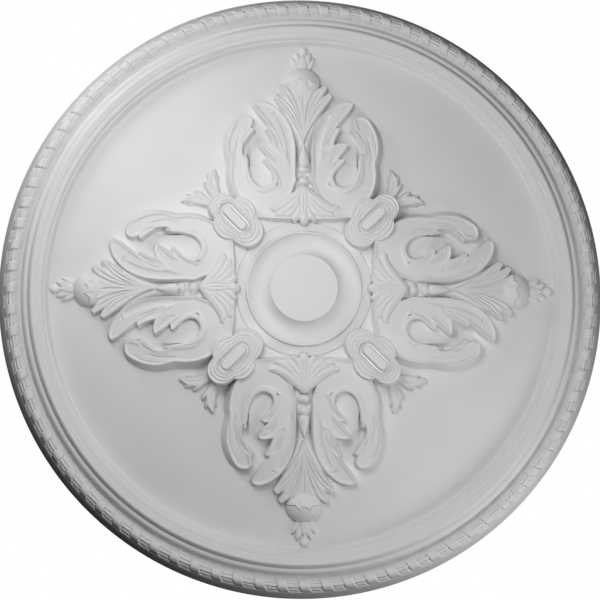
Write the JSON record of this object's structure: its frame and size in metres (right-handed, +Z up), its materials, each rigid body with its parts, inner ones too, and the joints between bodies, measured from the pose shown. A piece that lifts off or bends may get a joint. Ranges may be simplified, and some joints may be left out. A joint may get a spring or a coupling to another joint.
{
  "type": "ceiling rose",
  "caption": "Round moulded ceiling rose with a rope rim, scrolled leaf arms tipped with finials, corner flowers and a flat middle seat for a lamp canopy.",
  "frame": {"origin": "centre of the flat back, where it meets the ceiling", "axes": "+Z up, out of the flat back into the ceiling, with the carved face towards -Z; two of the arms lie along X and two along Y"},
  "size_m": [1.38, 1.38, 0.07],
  "materials": {
    "matt_white_primer": "factory-primed matt white over rigid foam"
  },
  "bodies": {
    "root": {"ceiling_rose": "matt_white_primer"}
  },
  "joints": []
}
